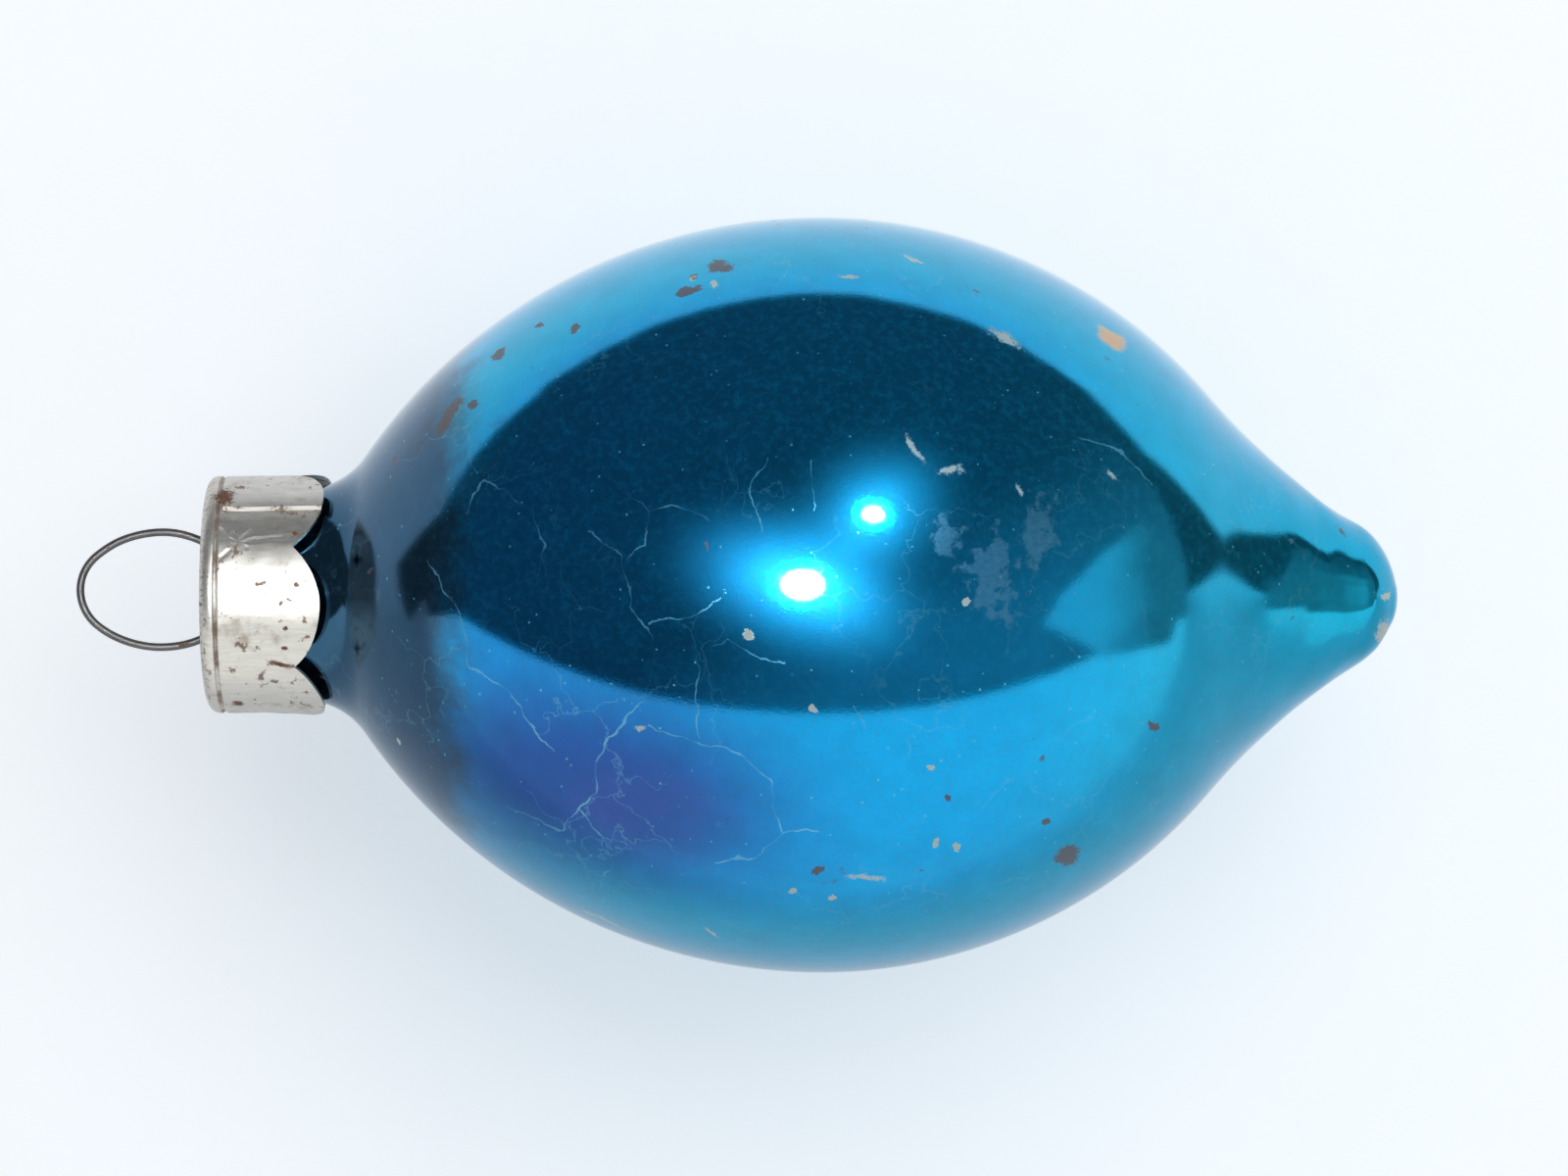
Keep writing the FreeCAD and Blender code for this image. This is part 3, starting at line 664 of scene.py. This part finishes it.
def lacquer_material():
    """Clear blue lacquer over silvered glass, which together make a tinted mirror."""
    made = Shader("blue_lacquer_over_silver", IOR=1.5, Coat_Weight=0.3, Coat_Roughness=0.04,
                  Coat_IOR=1.45, Specular_Tint=socket((0.88, 0.94, 1.0)))
    upper = made.ramp(made.z, 0.0, 1.0)
    wander = made.vector("SUBTRACT", made.noise(0.45, 4, colour=True), (0.5, 0.5, 0.5))
    moved = made.vector("ADD", made.place, made.vector("SCALE", wander, 1.5))
    made.flat_x, made.flat_y = made.node("ShaderNodeSeparateXYZ", Vector=moved).outputs[:2]
    web_place = made.vector("ADD", made.place, made.vector("SCALE", wander, 4.5))
    cloud = made.noise(0.35, 4, rough=0.6)

    tint = lacquer_tint(made, upper, cloud)
    cracks = lacquer_cracks(made, upper, web_place)
    marks = lacquer_marks(made, upper, cloud, web_place)
    dark_spots = made.most(marks["tarnish"], marks["pits"])
    layers = [
        (marks["soot"], 0.55, (0.03, 0.04, 0.06)),
        (marks["milk"], 0.42, (0.25, 0.42, 0.52)),
        (cracks, 0.7, (0.16, 0.5, 0.68)),
        (marks["dots"], 0.75, (0.12, 0.5, 0.65)),
        (marks["dark_dots"], 0.8, (0.03, 0.07, 0.1)),
        (made.most(marks["scuffs"], marks["flecks"]), 1.0, (0.5, 0.62, 0.6)),
        (dark_spots, 1.0, (0.075, 0.045, 0.05)),
        (marks["cream"], 1.0, (0.75, 0.5, 0.3)),
        (marks["seal"], 1.0, (0.5, 0.58, 0.55)),
    ]
    for share, strength, colour in layers:
        tint = made.mix(made.product(share, strength), tint, colour)
    made.set("Base Color", tint)

    worn = made.most(*(marks[name] for name in ("scuffs", "flecks", "cream", "seal")), dark_spots)
    haze = made.most(made.product(marks["milk"], 0.5),
                     made.product(made.most(cracks, marks["dots"]), 0.6))
    grain = made.noise(1.7, 5, rough=0.75)
    dust = made.product(made.ramp(grain, 0.44, 0.68), 0.15)
    dull = made.most(worn, made.product(haze, 0.7), dust)
    made.set("Metallic", made.math("SUBTRACT", 1.0, dull, clamp=True))
    smooth = made.blend(grain, 0.056, 0.066)
    smooth = made.math("ADD", smooth, made.product(marks["soot"], 0.15))
    made.set("Roughness", made.blend(made.most(worn, haze), smooth, 0.5))
    fine = made.noise(3.0, 4, made.vector("MULTIPLY", made.place, (1.0, 1.8, 1.8)), 0.7)
    made.bump(fine, 1.0, 0.0035)
    return made.material


def glass_material():
    """Clear blown glass with a faint smear, seen only where the lacquer leaves it bare."""
    made = Shader("clear_glass", Transmission_Weight=1.0, IOR=1.5,
                  Base_Color=socket((0.93, 0.97, 0.96)))
    smear = made.noise(0.8, 4)
    made.set("Roughness", made.blend(smear, 0.01, 0.12))
    made.bump(made.noise(0.9, 2), 0.2, 0.02)
    return made.material


def silver_material():
    """The mirror film, browned and specked where it has aged."""
    made = Shader("aged_silvering", Metallic=1.0)
    cloud = made.noise(0.4, 5, rough=0.65)
    grit = made.noise(2.8, 3)
    tarnish = made.ramp(cloud, 0.5, 0.72)
    tone = made.mix(tarnish, (0.83, 0.84, 0.85), (0.34, 0.27, 0.19))
    tone = made.mix(made.ramp(grit, 0.66, 0.74), tone, (0.1, 0.08, 0.07))
    made.set("Base Color", tone)
    made.set("Roughness", made.blend(tarnish, 0.07, 0.32))
    made.bump(grit, 0.2, 0.01)
    return made.material


RUST = [                        # x, y, half length, half width, degrees
    (-44.8, 7.3, 0.9, 0.75, 0), (-39.9, -2.5, 0.25, 0.2, 0), (-40.4, -5.2, 1.0, 0.22, -12),
    (-40.0, -4.0, 0.3, 0.2, 0), (-43.9, -8.2, 0.5, 0.25, 0), (-39.3, 4.6, 0.3, 0.2, 0),
]
CREASES = [                     # short folds where the skirt was squeezed, as (x, y)
    [(-45.0, 4.9), (-44.2, 4.1), (-43.2, 3.9), (-41.6, 4.15), (-39.4, 4.3)],
    [(-44.9, 2.6), (-44.1, 3.3), (-43.4, 4.0), (-42.6, 4.7)],
    [(-44.4, 4.3), (-43.7, 3.2)],
    [(-43.9, 4.5), (-42.9, 3.5)],
]


def tinplate_rust(made, upper, cloud, grit):
    """Rust at the places on the upper side, at the top's rim, in the groove and astray."""
    spots = made.math("ADD", made.dabs(RUST), made.sway(grit, 2.2))
    spots = made.product(made.ramp(spots, 1.05, 0.5), upper)
    stray = made.ramp(made.math("ADD", made.noise(0.9, 3), made.product(grit, 0.35)),
                      0.79, 0.88)
    rim = made.ramp(made.x, -CAP_REACH + 0.9, -CAP_REACH + 0.2)
    rim = made.product(rim, made.ramp(grit, 0.5, 0.68))
    groove = made.ramp(made.math("ABSOLUTE", made.math("SUBTRACT", made.x, GROOVE_AT)),
                       0.26, 0.08)
    groove = made.product(groove, made.ramp(cloud, 0.38, 0.6))
    return made.most(spots, made.product(made.most(stray, rim, groove), 0.75))


def tinplate_material():
    """Thin tinned steel, drawn along the axis, with rust where the tin has worn."""
    made = Shader("worn_tinplate")
    upper = made.ramp(made.z, 0.0, 1.0)
    along = made.vector("MULTIPLY", made.place, (0.12, 1.0, 1.0))
    streak = made.noise(4.5, 4, along, 0.7)
    cloud = made.noise(0.5, 5, rough=0.65)
    grit = made.noise(3.6, 4, rough=0.7)
    tone = made.mix(streak, (0.5, 0.47, 0.43), (0.78, 0.75, 0.71))
    tone = made.mix(made.ramp(cloud, 0.52, 0.75), tone, (0.42, 0.37, 0.31))
    rust = tinplate_rust(made, upper, cloud, grit)
    brown = made.mix(grit, (0.05, 0.03, 0.025), (0.3, 0.13, 0.05))
    made.set("Base Color", made.mix(rust, tone, brown))
    made.set("Metallic", made.math("SUBTRACT", 1.0, made.product(rust, 0.9)))
    shine = made.blend(streak, 0.34, 0.5)
    made.set("Roughness", made.blend(rust, shine, 0.8))
    height = made.chain("ADD", streak, made.product(grit, 0.3), made.product(rust, 0.8))
    crease = made.math("ADD", made.strokes(CREASES), made.sway(grit, 0.3))
    crease = made.product(made.ramp(crease, 0.32, 0.0), upper, 7.0)
    made.bump(made.math("SUBTRACT", height, crease), 0.35, 0.02)
    return made.material


def wire_material():
    """Plain steel wire gone dark, with die lines and specks of brown."""
    made = Shader("darkened_steel_wire")
    cloud = made.noise(0.7, 4, rough=0.65)
    grit = made.noise(5.0, 3)
    tone = made.mix(cloud, (0.07, 0.07, 0.075), (0.19, 0.185, 0.18))
    rust = made.ramp(made.math("ADD", cloud, made.product(grit, 0.3)), 0.74, 0.86)
    made.set("Base Color", made.mix(rust, tone, (0.16, 0.07, 0.035)))
    made.set("Metallic", made.math("SUBTRACT", 1.0, made.product(rust, 0.8)))
    made.set("Roughness", made.blend(rust, made.blend(grit, 0.4, 0.55), 0.8))
    made.bump(grit, 0.3, 0.01)
    return made.material


# ---- the studio ----

def studio_plane(name, corners, material):
    """A flat card that belongs to the stage and not to the part."""
    mesh = bpy.data.meshes.new(name)
    mesh.from_pydata([Vector(c) for c in corners], [], [tuple(range(len(corners)))])
    plane = bpy.data.objects.new(name, mesh)
    bpy.context.scene.collection.objects.link(plane)
    mesh.materials.append(material)
    return plane


def only_mirrored(card):
    """Leaves a card to be seen in reflections alone."""
    card.visible_camera = False
    card.visible_diffuse = False
    card.visible_shadow = False


def floor_material():
    """A pale floor. In reflections only a sheet of it is bright and the rest is dark room, and a
    painted shadow dims the sheet on its -Y side near the ornament.
    """
    made = Shader("pale_floor", Roughness=0.9, Specular_IOR_Level=0.1,
                  Emission_Color=socket((0.84, 0.9, 0.95)), Emission_Strength=0.5)
    grain = made.blend(made.noise(0.25, 6, rough=0.7), 0.96, 1.0)
    made.set("Base Color", made.vector("SCALE", (0.95, 0.94, 0.935), grain))

    # the sheet ends at a far edge and, beyond a near one, at two sides that splay out
    place_x, place_y, _ = made.node("ShaderNodeSeparateXYZ", Vector=made.object_place).outputs
    far = made.math("ADD", 0.225, made.sway(made.noise(0.02, 3), 0.1))
    right = made.math("GREATER_THAN", place_x, 0.0)
    near = made.blend(right, -0.05, 0.02)
    splay = made.math("ABSOLUTE", made.math("SUBTRACT", place_y, 0.03))
    side = made.math("MULTIPLY_ADD", splay, made.blend(right, 2.0, 1.0),
                     made.blend(right, 0.24, 0.17))
    aside = made.most(made.math("SUBTRACT", side, made.math("ABSOLUTE", place_x)),
                      made.math("SUBTRACT", near, place_y))
    inside = made.math("MINIMUM", made.math("SUBTRACT", far, place_y), aside)
    outside = made.ramp(inside, 0.008, -0.008)
    # painted shadow: in reflections the floor just to the -Y side of the ornament is mixed up to
    # a third of the way into the dark room, fading out by 32 cm away, as if the ornament shaded
    # it
    painted_shadow = made.product(made.ramp(place_y, 0.03, -0.04), made.ramp(place_y, -0.32, -0.05),
                          0.34)

    # the dark room seen in reflections, which the painted shadow also mixes in
    dark = made.node("ShaderNodeEmission", Color=socket((0.09, 0.12, 0.13)), Strength=1.0)
    glossy = made.node("ShaderNodeLightPath").outputs["Is Glossy Ray"]
    mixed = made.node("ShaderNodeMixShader",
                      Fac=made.product(made.most(outside, painted_shadow), glossy))
    made.tree.links.new(made.principled.outputs[0], mixed.inputs[1])
    made.tree.links.new(dark.outputs[0], mixed.inputs[2])
    made.finish_with(mixed)
    return made.material


def card_material(heights, strengths):
    """A pale glowing card, brighter towards its top."""
    made = Shader("pale_card")
    height = made.node("ShaderNodeSeparateXYZ", Vector=made.object_place).outputs[2]
    uneven = made.product(made.noise(0.012, 3), 0.12)
    share = made.ramp(made.math("ADD", height, uneven), *heights)
    made.finish_with(made.node("ShaderNodeEmission", Color=socket((0.95, 1.0, 0.98)),
                               Strength=made.blend(share, *strengths)))
    return made.material


def world():
    """Pale to the camera and for soft light, and a dim room in mirrored rays."""
    room = bpy.data.worlds.new("studio")
    bpy.context.scene.world = room
    room.use_nodes = True
    nodes, links = room.node_tree.nodes, room.node_tree.links

    # the dim room is lighter towards the window and the right
    facing = nodes.new("ShaderNodeTexCoord").outputs["Generated"]
    lean = nodes.new("ShaderNodeVectorMath")
    lean.operation = "DOT_PRODUCT"
    lean.inputs[1].default_value = (0.6, -0.8, 0.0)
    links.new(facing, lean.inputs[0])
    lighter = nodes.new("ShaderNodeMapRange")
    lighter.interpolation_type = "SMOOTHSTEP"
    for name, value in (("From Min", -0.15), ("From Max", 0.6), ("To Min", 0.125),
                        ("To Max", 0.36)):
        lighter.inputs[name].default_value = value
    links.new(lean.outputs["Value"], lighter.inputs["Value"])
    dim = nodes.new("ShaderNodeBackground")
    dim.inputs["Color"].default_value = socket((0.85, 0.95, 1.0))
    links.new(lighter.outputs["Result"], dim.inputs["Strength"])

    # soft light, and a paler backdrop for the camera
    background = nodes["Background"]
    background.inputs["Color"].default_value = socket((0.9, 0.94, 1.0))
    path = nodes.new("ShaderNodeLightPath").outputs
    backdrop = nodes.new("ShaderNodeMath")
    backdrop.operation = "MULTIPLY_ADD"
    links.new(path["Is Camera Ray"], backdrop.inputs[0])
    backdrop.inputs[1].default_value = 0.5
    backdrop.inputs[2].default_value = 0.37
    links.new(backdrop.outputs[0], background.inputs["Strength"])
    mixed = nodes.new("ShaderNodeMixShader")
    links.new(path["Is Glossy Ray"], mixed.inputs[0])
    links.new(background.outputs[0], mixed.inputs[1])
    links.new(dim.outputs[0], mixed.inputs[2])
    links.new(mixed.outputs[0], nodes["World Output"].inputs["Surface"])


def overhead_light():
    """A large soft light that the mirror finish doesn't show."""
    data = bpy.data.lights.new("overhead", "AREA")
    data.shape = "RECTANGLE"
    data.size, data.size_y = 0.7, 0.5
    data.energy = 2.0
    light = bpy.data.objects.new("overhead", data)
    light.location = (0.22, 0.3, 0.75)
    light.rotation_euler = light.location.to_track_quat("Z", "Y").to_euler()
    light.visible_glossy = False
    light.visible_camera = False
    bpy.context.scene.collection.objects.link(light)


def upper_side(x, y):
    """A point of the body's upper side and the outward direction there."""
    radius = SHOULDER if x < 0 else BELLY
    ring = WIDEST - radius + math.sqrt(radius**2 - x**2)
    slope, across = math.asin(x / radius), math.asin(y / ring)
    normal = Vector((math.sin(slope), math.cos(slope) * math.sin(across),
                     math.cos(slope) * math.cos(across)))
    return placed(x, y, math.sqrt(ring**2 - y**2)), normal


def flash(name, x, y, camera, reach, energy, halo, strength):
    """A small light placed so that the camera sees its highlight at (x, y) on the glass."""
    distance = 0.4
    point, normal = upper_side(x, y)
    view = (camera - point).normalized()
    leaving = 2 * normal.dot(view) * normal - view
    data = bpy.data.lights.new(name, "POINT")
    data.shadow_soft_size = reach
    data.energy = energy
    light = bpy.data.objects.new(name, data)
    light.location = point + leaving * distance
    light.visible_diffuse = False
    bpy.context.scene.collection.objects.link(light)
    glow(name + "_glow", light.location, leaving, halo, strength)


def glow(name, place, facing, halo, strength):
    """A faint oval round a lamp, which gives its highlight a soft edge."""
    turn = facing.to_track_quat("Z", "Y")
    across, along = turn @ Vector((halo, 0, 0)), turn @ Vector((0, halo * 1.5, 0))
    made = Shader(name)
    away = made.vector("SUBTRACT", made.object_place, place)
    sides = [made.math("DIVIDE", made.vector("DOT_PRODUCT", away, side), side.length_squared)
             for side in (across, along)]
    squares = made.math("MULTIPLY_ADD", sides[0], sides[0], made.product(sides[1], sides[1]))
    fade = made.math("SUBTRACT", 1.0, made.math("SQRT", squares), clamp=True)
    light = made.node("ShaderNodeEmission", Color=socket((0.9, 1.0, 1.0)),
                      Strength=made.product(made.math("POWER", fade, 5.0), strength))
    clear = made.node("ShaderNodeBsdfTransparent")
    both = made.node("ShaderNodeAddShader")
    made.tree.links.new(light.outputs[0], both.inputs[0])
    made.tree.links.new(clear.outputs[0], both.inputs[1])
    made.finish_with(both)
    corners = [place + across * a + along * b for a, b in ((-1, -1), (1, -1), (1, 1), (-1, 1))]
    only_mirrored(studio_plane(name, corners, made.material))


def add_camera(place, width, distance):
    """Straight above, with +Y up in the picture. width is what it shows at the axis."""
    data = bpy.data.cameras.new("camera")
    data.sensor_width = 36
    data.lens = data.sensor_width * distance / width
    data.clip_start, data.clip_end = 0.01, 20
    camera = bpy.data.objects.new("camera", data)
    camera.location = place
    bpy.context.scene.collection.objects.link(camera)
    bpy.context.scene.camera = camera


def build_studio():
    """The floor, the two cards, the room and the lamps that the mirror finish shows."""
    distance, width = 0.45, 0.119
    camera_place = Vector((0.0036, 0.0005, MIDDLE.z + distance))
    add_camera(camera_place, width, distance)
    reach = 3.0
    floor = [(-reach, -reach, 0), (reach, -reach, 0), (reach, reach, 0), (-reach, reach, 0)]
    studio_plane("floor", floor, floor_material())

    # a window along the -Y side, its top 55.4 degrees up as the ornament sees it
    back, low, top = -0.3, 0.001, MIDDLE.z + 0.3 * math.tan(math.radians(55.4))
    corners = [(-reach, back, low), (reach, back, low), (reach, back, top), (-reach, back, top)]
    only_mirrored(studio_plane("window_card", corners,
                               card_material((0.0, 0.25), (0.98, 1.18))))

    # a pale wedge beyond the nose, as (y, z) from the ornament's middle
    rim = [(-0.09, 0.41), (0.0, 0.36), (0.09, 0.24), (0.16, 0.1), (0.06, 0.02), (-0.1, 0.04),
           (-0.15, 0.2)]
    corners = [(MIDDLE.x + 0.5, y, MIDDLE.z + z) for y, z in rim]
    only_mirrored(studio_plane("side_card", corners,
                               card_material((0.16, 0.34), (0.34, 0.84))))

    world()
    overhead_light()
    flash("flash", -1.6, 0.7, camera_place, reach=0.034, energy=4.5, halo=0.29, strength=6.0)
    flash("lamp", 3.5, 5.7, camera_place, reach=0.02, energy=1.6, halo=0.25, strength=3.4)
    bpy.context.scene.view_settings.view_transform = "Standard"


# ---- assembly ----

def build_ornament():
    """The five pieces, each with its body, the CAD node it stands for and its slot."""
    lacquer = wall_piece("ornament_lacquer", 0.0, LACQUER, LACQUER_EDGE, lacquer_material())
    glass = wall_piece("ornament_glass", LACQUER + SKIN_GAP, LACQUER + GLASS - SKIN_GAP,
                       GLASS_EDGE, glass_material())
    silver = wall_piece("ornament_silvering", LACQUER + GLASS, LACQUER + GLASS + SILVER,
                        SILVER_EDGE, silver_material())
    cap = cap_piece(tinplate_material())
    hanger = hanger_piece(wire_material())
    pieces = [
        (lacquer, "glass_body", "lacquer_coat", "blue_lacquer"),
        (glass, "glass_body", "glass_shell", "clear_glass"),
        (silver, "glass_body", "silver_lining", "silvering"),
        (cap, "cap_body", "cap", "tinplate"),
        (hanger, "hanger_body", "hanger_wire", "hanger_steel"),
    ]
    for piece, body, node, slot in pieces:
        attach(piece, body)
        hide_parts(node)


build_studio()
build_ornament()
